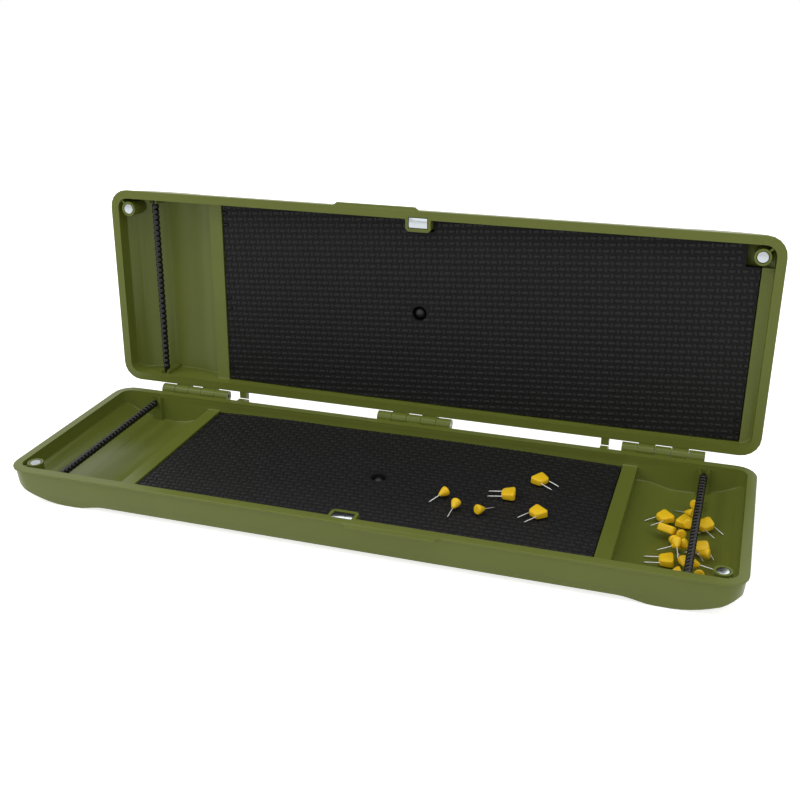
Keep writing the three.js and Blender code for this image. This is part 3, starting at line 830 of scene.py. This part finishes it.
@dataclass
class FoamPad:
    """An embossed foam pad: a crowned slab under a basket pattern of small pillows."""

    half: Half
    sheet_angle: float
    cell: float = 6.3 * MM
    across_pillow: Pair = (3.9 * MM, 1.9 * MM)
    along_pillow: Pair = (2.5 * MM, 1.55 * MM)
    pillow_height: float = 0.42 * MM
    pillow_sink: float = 0.1 * MM
    pillow_inset: float = 0.44 * MM
    pillow_sides: int = 8
    pillow_steps: ClassVar[tuple[Pair, ...]] = ((0.35, 0), (0.45, 0.4), (0.2, 1))
    margin: float = 0.1 * MM
    stud_clearance: float = 0.3 * MM
    beyond_stud: float = 20 * MM
    sharp_angle: float = 50

    def _pillow(self, size: Pair, centre: Pair, turned: bool) -> bmesh.types.BMesh:
        """One closed pillow of the embossing, with its foot sunk a little below z = 0.

        Args:
            size: Its length and width.
            centre: Its middle.
            turned: Whether its length runs across the sheet's rows.

        Returns:
            A new bmesh.
        """
        bm = bmesh.new()
        bmesh.ops.create_circle(bm, cap_ends=True, radius=0.5, segments=self.pillow_sides)
        bmesh.ops.rotate(bm, matrix=Matrix.Rotation(math.pi / self.pillow_sides, 3, "Z"), verts=bm.verts)
        length, width = reversed(size) if turned else size
        bmesh.ops.scale(bm, vec=(length, width, 1), verts=bm.verts)
        top = bm.faces[:]
        sink = self.pillow_sink
        for rise_share, inset_share in self.pillow_steps:
            rise = sink + self.pillow_height * rise_share
            inset = self.pillow_inset * inset_share
            sink = 0
            lifted = bmesh.ops.extrude_face_region(bm, geom=top)["geom"]
            verts = [item for item in lifted if isinstance(item, bmesh.types.BMVert)]
            top = [item for item in lifted if isinstance(item, bmesh.types.BMFace)]
            bmesh.ops.translate(bm, vec=(0, 0, rise), verts=verts)
            shrink = (1 - 2 * inset / length, 1 - 2 * inset / width, 1)
            bmesh.ops.scale(bm, vec=shrink, verts=verts)
            length, width = length - 2 * inset, width - 2 * inset
        bmesh.ops.translate(bm, vec=(*centre, -self.pillow_sink), verts=bm.verts)
        bmesh.ops.recalc_face_normals(bm, faces=bm.faces)
        return bm

    def _cell_mesh(self) -> bpy.types.Mesh:
        """The four pillows that repeat: two across and two along, in a chequer.

        Returns:
            Their mesh.
        """
        quarter = self.cell / 4
        whole = bmesh.new()
        for column, row, turned in ((-1, -1, False), (1, 1, False), (1, -1, True), (-1, 1, True)):
            size = self.along_pillow if turned else self.across_pillow
            add_to(whole, self._pillow(size, (column * quarter, row * quarter), turned))
        mesh = bpy.data.meshes.new("foam_cell")
        whole.to_mesh(mesh)
        whole.free()
        return mesh

    def _field(self, length: float, width: float) -> bmesh.types.BMesh:
        """A field of pillows that is larger than the pad.

        Args:
            length: The pad's length.
            width: The pad's width.

        Returns:
            The field, about the pad's middle.
        """
        lean = length * math.sin(math.radians(abs(self.sheet_angle)))
        spans = (math.hypot(length, width), width + lean * 2 + self.cell * 2)
        counts = [math.ceil(span / self.cell) for span in spans]
        cells = bpy.data.objects.new("foam_field", self._cell_mesh())
        bpy.context.scene.collection.objects.link(cells)
        for axis, count in enumerate(counts):
            array = cells.modifiers.new("repeat", "ARRAY")
            array.use_relative_offset = False
            array.use_constant_offset = True
            array.constant_offset_displace = along(axis, self.cell)
            array.count = count
        bpy.context.view_layer.update()
        result = cells.evaluated_get(bpy.context.evaluated_depsgraph_get())
        bm = bmesh.new()
        bm.from_mesh(result.data)
        bpy.data.objects.remove(cells)
        middle = [-(count - 1) * self.cell / 2 for count in counts]
        bmesh.ops.translate(bm, vec=(*middle, 0), verts=bm.verts)
        bm.transform(Matrix.Rotation(math.radians(self.sheet_angle), 4, "Z"))
        return bm

    def _blocked(self, middle: Vector, top: PadTop) -> bool:
        """Tells whether a pillow would lie outside the pad or hang over an opening in it.

        Args:
            middle: The pillow's middle.
            top: The pad's top.

        Returns:
            True if the pillow can't stay.
        """
        low, high = top.low, top.high
        longest = self.across_pillow[0]
        reach = self.stud_clearance + longest / 4
        if any(max(low[i] - middle[i], middle[i] - high[i]) > longest for i in range(2)):
            return True
        for dx, dy in ((0, 0), (reach, 0), (-reach, 0), (0, reach), (0, -reach)):
            x, y = middle.x + dx, middle.y + dy
            inside = low.x < x < high.x and low.y < y < high.y
            if inside and top.level(x, y) is None:
                return True
        return False

    def _thin_out(self, pillows: bmesh.types.BMesh, top: PadTop) -> None:
        """Takes out the pillows that can't stay.

        Args:
            pillows: The field of pillows.
            top: The pad's top.
        """
        pillows.verts.ensure_lookup_table()
        size = (len(self.pillow_steps) + 1) * self.pillow_sides
        doomed = []
        for start in range(0, len(pillows.verts), size):
            pillow = pillows.verts[start:start + size]
            middle = sum((vert.co for vert in pillow), Vector()) / size
            if self._blocked(middle, top):
                doomed.extend(pillow)
        bmesh.ops.delete(pillows, geom=doomed, context="VERTS")

    def _trim(self, pillows: bmesh.types.BMesh, top: PadTop) -> None:
        """Cuts the pillows off at the pad's edges and closes them there.

        Args:
            pillows: The field of pillows.
            top: The pad's top.
        """
        for axis in range(2):
            for sign, corner in ((-1, top.low), (1, top.high)):
                whole = pillows.verts[:] + pillows.edges[:] + pillows.faces[:]
                cut = bmesh.ops.bisect_plane(
                    pillows, geom=whole, dist=WELD / 10,
                    plane_co=along(axis, corner[axis] - sign * self.margin),
                    plane_no=along(axis, sign), clear_outer=True,
                )
                rims = [item for item in cut["geom_cut"] if isinstance(item, bmesh.types.BMEdge)]
                bmesh.ops.holes_fill(pillows, edges=rims, sides=0)

    def _lay(self, pillows: bmesh.types.BMesh, top: PadTop) -> None:
        """Lifts every corner of the pillows by the height that the pad has under it.

        Args:
            pillows: The field of pillows.
            top: The pad's top.
        """
        centre = top.centre
        half_length = (top.high.x - top.low.x) / 2
        for vert in pillows.verts:
            share = max(-1, min(1, (vert.co.x - centre.x) / half_length))
            x = centre.x + share * (half_length - self.margin)
            height = top.level(x, vert.co.y)
            if height is None:  # Over the stud's opening, the height beyond it is taken
                height = top.level(x, centre.y + self.beyond_stud) or top.high.z
            vert.co.z += height - self.pillow_height

    def build(self, finishes: Finishes) -> None:
        """Lowers the slab's top, trims the pillows to the pad and lays them on it.

        Args:
            finishes: The materials.
        """
        node = f"{self.half.value}_foam"
        space = half_space(self.half)
        low, high = box_in(node, space)
        slab = merged_copy(node)
        slab.transform(space.inverted())
        top = PadTop(low, high, BVHTree.FromBMesh(slab))
        centre = top.centre
        pillows = self._field(high.x - low.x, high.y - low.y)
        bmesh.ops.translate(pillows, vec=(centre.x, centre.y, 0), verts=pillows.verts)
        self._thin_out(pillows, top)
        self._trim(pillows, top)
        self._lay(pillows, top)
        for vert in slab.verts:
            if vert.co.z > centre.z:
                vert.co.z -= self.pillow_height
        # The slab's top shows only in the pits, so it takes the pit finish with its painted shade
        for face in slab.faces:
            face.material_index = 1
        add_to(slab, pillows)
        slab.transform(space)
        pad = finished(
            f"{node}_embossed", slab, finishes.foam, self.half, (node,), self.sharp_angle
        )
        pad.data.materials.append(finishes.pit)


@dataclass
class FoamStud:
    """The black stud in the middle of a pad: a shank under a domed head."""

    half: Half
    lip: float = 0.3 * MM
    shank_share: float = 0.76
    dome_share: float = 0.62
    segments: int = 48
    lip_turn: float = 60
    lip_steps: int = 4
    dome_steps: int = 10

    def build(self, finishes: Finishes) -> None:
        """Turns the stud to its node's height and radius.

        Args:
            finishes: The materials.
        """
        node = f"{self.half.value}_foam_stud"
        space = half_space(self.half)
        low, high = box_in(node, space)
        radius = (high.x - low.x) / 2
        shank = radius * self.shank_share
        rim = high.z - (high.z - low.z) * self.dome_share
        lip = self.lip / 2
        profile = [(0, low.z), (shank, low.z), (shank, rim), (radius - lip, rim)]
        profile += arc((radius - lip, rim + lip), lip, -self.lip_turn, self.lip_turn, self.lip_steps)
        top = rim + self.lip
        for step in range(1, self.dome_steps):
            angle = math.pi / 2 * step / self.dome_steps
            profile.append(((radius - lip) * math.cos(angle), top + (high.z - top) * math.sin(angle)))
        bm = spun([*profile, (0, high.z)], self.segments)
        put_in_place(bm, low, high, space)
        finished(f"{node}_dome", bm, finishes.stud, self.half, (node,))


@dataclass
class RibbedRod:
    """A beaded rod that line is wound on, held at both ends by its journals."""

    node: str
    half: Half
    pitch: float = 3 * MM
    neck_radius: float = 1.3 * MM
    journal_radius: float = 0.9 * MM
    stem_share: float = 0.95
    bead_steps: int = 8
    segments: int = 32

    def build(self, finishes: Finishes) -> None:
        """Turns one bead after the other along the rod.

        Args:
            finishes: The materials.
        """
        space = half_space(self.half)
        low, high = box_in(self.node, space)
        radius = (high.z - low.z) / 2
        middle = (low + high) / 2
        length = high.y - low.y
        stem = [
            point.y for point in points_of(self.node, space)
            if math.hypot(point.x - middle.x, point.z - middle.z) > self.neck_radius * self.stem_share
        ]
        count = round((max(stem) - min(stem)) / self.pitch)
        start = -count * self.pitch / 2
        profile = [(0, -length / 2), (self.journal_radius, -length / 2), (self.journal_radius, start)]
        for bead in range(count):
            for step in range(self.bead_steps + (bead == count - 1)):
                share = step / self.bead_steps
                bulge = math.sqrt(max(0, 1 - (2 * share - 1) ** 2))
                reach = self.neck_radius + (radius - self.neck_radius) * bulge
                profile.append((reach, start + (bead + share) * self.pitch))
        profile += [(self.journal_radius, -start), (self.journal_radius, length / 2), (0, length / 2)]
        bm = spun(profile, self.segments)
        turn = Matrix.Translation(middle) @ Matrix.Rotation(-math.pi / 2, 4, "X")
        bm.transform(space @ turn)
        finished(f"{self.node}_beads", bm, finishes.rod, self.half, (self.node,))


# Rig pins


@dataclass
class RigPin:
    """A rig pin: a moulded head on one needle, or a wedge on two."""

    node: str
    kind: PinKind
    needle_radius: float = 0.27 * MM
    tip_length: float = 1.6 * MM
    bell_length: float = 5 * MM
    bell_radius: float = 2.4 * MM
    bell_outline: tuple[Pair, ...] = (
        (0.0, -0.36), (0.6, -0.355), (0.86, -0.34), (0.97, -0.29), (1.0, -0.22), (0.98, -0.12),
        (0.9, 0.02), (0.78, 0.16), (0.64, 0.3), (0.5, 0.43), (0.4, 0.53), (0.33, 0.61), (0.22, 0.64),
        (0.0, 0.645),
    )
    bell_root: float = 0.5
    wedge_length: float = 6.6 * MM
    wedge_far: Pair = (9 * MM, 3.8 * MM)
    wedge_near: Pair = (6.2 * MM, 3 * MM)
    wedge_corner: float = 1.7 * MM
    wedge_corner_steps: int = 4
    wedge_rounding: float = 0.7 * MM
    wedge_rounding_steps: int = 3
    wedge_rim_angle: float = 50
    wedge_root: float = 0.3
    twin_pitch: float = 5 * MM
    twin_apart: float = 0.8
    taper: float = 0.72
    segments: int = 32
    needle_segments: int = 16
    sharp_angle: float = 60

    def _other_tip(self, points: list[Vector], mean: Vector, tip: Vector) -> Vector:
        """Finds the tip of a double pin's other needle.

        Args:
            points: The corners of the node's mesh.
            mean: Their mean.
            tip: The tip of one needle.

        Returns:
            The corner that lies far out and about the needles' pitch from the tip.
        """

        def likeness(point: Vector) -> float:
            """How far out a corner lies, less what its distance from the tip is off by."""
            return (point - mean).length - abs((point - tip).length - self.twin_pitch)

        apart = self.twin_pitch * self.twin_apart
        return max([point for point in points if (point - tip).length > apart], key=likeness)

    def _place(self) -> tuple[Matrix, float]:
        """Finds how the node lies: its needles' tips tell its direction.

        Returns:
            The matrix from the pin's own space, with its needles along +X, and the
            distance of the tips from the middle of that space.
        """
        points = points_of(self.node)
        mean = sum(points, Vector()) / len(points)
        tip = max(points, key=lambda point: (point - mean).length)
        if self.kind is PinKind.SINGLE:
            axis = (tip - mean).normalized()
            tail = min((point - tip).dot(axis) for point in points)
            origin = tip + axis * (tail + self.bell_length * -self.bell_outline[0][1])
            side = axis.orthogonal().normalized()
            reach = (tip - origin).dot(axis)
        else:
            twin = self._other_tip(points, mean, tip)
            side = (tip - twin).normalized()
            ahead = (tip + twin) / 2
            axis = ahead - mean
            axis = (axis - side * axis.dot(side)).normalized()
            tail = min((point - ahead).dot(axis) for point in points)
            origin = ahead + axis * (tail + self.wedge_length / 2)
            reach = (ahead - origin).dot(axis)
        up = axis.cross(side)
        turn = Matrix((axis, side, up)).transposed().to_4x4()
        return Matrix.Translation(origin) @ turn, reach

    def _needle(self, start: float, tip: float, offset: float) -> bmesh.types.BMesh:
        """One needle along +X with a long point.

        Args:
            start: Where it leaves the inside of the head.
            tip: Where its point ends.
            offset: How far it lies beside the pin's middle.

        Returns:
            A new bmesh.
        """
        body = tip - self.tip_length
        profile = [(0, start), (self.needle_radius, start), (self.needle_radius, body)]
        profile += [(self.needle_radius * self.taper, body + self.tip_length / 2), (0, tip)]
        bm = spun(profile, self.needle_segments)
        bm.transform(Matrix.Translation((0, offset, 0)) @ Matrix.Rotation(math.pi / 2, 4, "Y"))
        return bm

    def _bell(self) -> bmesh.types.BMesh:
        """The turned head of a single pin.

        Returns:
            A new bmesh, with the head's opening towards +X.
        """
        profile = [(r * self.bell_radius, a * self.bell_length) for r, a in self.bell_outline]
        bm = spun(profile, self.segments)
        bm.transform(Matrix.Rotation(math.pi / 2, 4, "Y"))
        return bm

    def _wedge(self) -> bmesh.types.BMesh:
        """The flat, tapering head of a double pin, with soft corners.

        Returns:
            A new bmesh, with the head's narrow end towards +X.
        """
        bm = bmesh.new()
        bmesh.ops.create_cube(bm, size=1)
        for vert in bm.verts:
            width, thickness = self.wedge_far if vert.co.x < 0 else self.wedge_near
            vert.co = Vector((vert.co.x * self.wedge_length, vert.co.y * width, vert.co.z * thickness))
        corners = [edge for edge in bm.edges if edge.verts[0].co.z * edge.verts[1].co.z < 0]
        bmesh.ops.bevel(
            bm, geom=corners, offset=self.wedge_corner, segments=self.wedge_corner_steps,
            profile=0.5, affect="EDGES", material=-1,
        )
        rim_angle = math.radians(self.wedge_rim_angle)
        rims = [edge for edge in bm.edges if edge.calc_face_angle() > rim_angle]
        bmesh.ops.bevel(
            bm, geom=rims, offset=self.wedge_rounding, segments=self.wedge_rounding_steps,
            profile=0.5, affect="EDGES", material=-1,
        )
        return bm

    def build(self, finishes: Finishes) -> None:
        """Makes the head and its needles, and lays them where the node lies.

        Args:
            finishes: The materials.
        """
        place, reach = self._place()
        if self.kind is PinKind.SINGLE:
            head = self._bell()
            needles = self._needle(self.bell_length * self.bell_root, reach, 0)
        else:
            head = self._wedge()
            root = self.wedge_length * self.wedge_root
            needles = self._needle(root, reach, self.twin_pitch / 2)
            add_to(needles, self._needle(root, reach, -self.twin_pitch / 2))
        head.transform(place)
        needles.transform(place)
        finished(
            f"{self.node}_head", head, finishes.amber, Half.BASE, (self.node,), self.sharp_angle
        )
        finished(f"{self.node}_needles", needles, finishes.steel, Half.BASE)


# The studio


@dataclass
class SoftLight:
    """A rectangular lamp aimed at the box."""

    name: str
    place: Vector
    size: Pair
    power: float
    target: Vector = field(default_factory=lambda: Vector((0, 0, 0.04)))

    def build(self) -> None:
        """Adds the lamp."""
        data = bpy.data.lights.new(self.name, "AREA")
        data.shape = "RECTANGLE"
        data.size, data.size_y = self.size
        data.energy = self.power
        lamp = bpy.data.objects.new(self.name, data)
        lamp.location = self.place
        lamp.rotation_euler = (self.target - self.place).to_track_quat("-Z", "Y").to_euler()
        bpy.context.scene.collection.objects.link(lamp)


@dataclass
class Studio:
    """The camera, the pale floor, the soft lamps and the white surroundings."""

    camera_place: Vector = field(default_factory=lambda: Vector((164.3, -444.6, 262.6)) * MM)
    camera_turn: float = 18.35
    camera_tilt: float = 25.18
    camera_roll: float = -0.59
    camera_nearest: float = 0.01
    focal_length: float = 48.1
    framing: Pair = (-0.0126, 0.0305)
    floor_size: float = 6.0
    floor_shade: float = 0.92
    floor_glow: float = 0.72
    floor_roughness: float = 0.9
    floor_sheen: float = 0.1
    surround_light: float = 0.40
    surround_white: float = 1.0
    lamps: tuple[SoftLight, ...] = (
        SoftLight("front_lamp", Vector((-0.25, -1.3, 0.55)), (1.2, 0.6), 2.0),
        SoftLight("top_lamp", Vector((0.0, -0.25, 1.2)), (0.9, 0.6), 3.0),
        SoftLight("back_lamp", Vector((0.0, 0.95, 0.95)), (1.4, 0.5), 5.0),
        SoftLight("left_lamp", Vector((-0.9, -0.35, 0.9)), (0.5, 0.5), 3.2),
        SoftLight("right_lamp", Vector((0.9, -0.3, 0.9)), (0.5, 0.5), 1.6),
    )

    def _camera(self) -> None:
        """Sets the camera where the picture was taken from."""
        data = bpy.data.cameras.new("camera")
        data.lens = self.focal_length
        data.shift_x, data.shift_y = self.framing
        data.clip_start = self.camera_nearest
        camera = bpy.data.objects.new("camera", data)
        turn = Matrix.Rotation(math.radians(self.camera_turn), 4, "Z")
        tilt = Matrix.Rotation(math.radians(90 - self.camera_tilt), 4, "X")
        roll = Matrix.Rotation(math.radians(self.camera_roll), 4, "Z")
        camera.matrix_world = Matrix.Translation(self.camera_place) @ turn @ tilt @ roll
        bpy.context.scene.collection.objects.link(camera)
        bpy.context.scene.camera = camera

    def _floor(self) -> None:
        """Lays a pale floor under the box, which glows a little for the camera."""
        bm = bmesh.new()
        bmesh.ops.create_grid(bm, x_segments=1, y_segments=1, size=self.floor_size / 2)
        bmesh.ops.translate(bm, vec=(0, 0, CAD_BOUNDS[0][2]), verts=bm.verts)
        mesh = bpy.data.meshes.new("floor")
        bm.to_mesh(mesh)
        bm.free()
        floor = bpy.data.objects.new("floor", mesh)
        shader = Shader.for_surface("pale_floor")
        dark, glowing = (0.0,) * 3, (self.floor_glow,) * 3
        mesh.materials.append(shader.finish({
            "Base Color": (self.floor_shade,) * 3 + (1,),
            "Roughness": self.floor_roughness,
            "Specular IOR Level": self.floor_sheen,
            "Emission Color": shader.blend(shader.seen(), dark, glowing),
            "Emission Strength": 1.0,
        }))
        bpy.context.scene.collection.objects.link(floor)

    def _surroundings(self) -> None:
        """Makes the surroundings white to the eye and in reflections, and softer as light."""
        world = bpy.data.worlds.new("surroundings")
        bpy.context.scene.world = world
        world.use_nodes = True
        shader = Shader(world)
        white = (1, 1, 1, 1)
        light, shown = [
            shader.node("ShaderNodeBackground", {}, {"Color": white, "Strength": strength})
            for strength in (self.surround_light, self.surround_white)
        ]
        mixed = shader.node("ShaderNodeMixShader", {}, {0: shader.seen(), 1: light, 2: shown})
        shader.node("ShaderNodeOutputWorld", {}, {"Surface": mixed})

    def build(self) -> None:
        """Sets up the whole studio."""
        self._camera()
        self._floor()
        self._surroundings()
        for lamp in self.lamps:
            lamp.build()
        bpy.context.scene.view_settings.view_transform = "Standard"


def rig_pins() -> list[RigPin]:
    """One rig pin for every pin node, of the kind that the node's name tells."""
    nodes = sorted(name for name in frame["nodes"] if "_pin_" in name and not name.startswith("hinge"))
    return [RigPin(node, PinKind.SINGLE if "single" in node else PinKind.DOUBLE) for node in nodes]


def main() -> None:
    """Builds the studio and every sub-assembly of the box, in order."""
    logging.basicConfig(level=logging.INFO, format="%(message)s")
    Studio().build()
    finishes = Finishes.made()
    parts = [
        CaseHalf(Half.BASE),
        CaseHalf(Half.LID),
        HingePins(),
        FoamPad(Half.BASE, sheet_angle=1.5),
        FoamPad(Half.LID, sheet_angle=4.0),
        FoamStud(Half.BASE),
        FoamStud(Half.LID),
        Magnets(Half.BASE),
        Magnets(Half.LID),
        RibbedRod("ribbed_rod_base_left", Half.BASE),
        RibbedRod("ribbed_rod_base_right", Half.BASE),
        RibbedRod("ribbed_rod_lid_left", Half.LID),
        *rig_pins(),
    ]
    for part in parts:
        part.build(finishes)


if __name__ == "__main__":
    main()
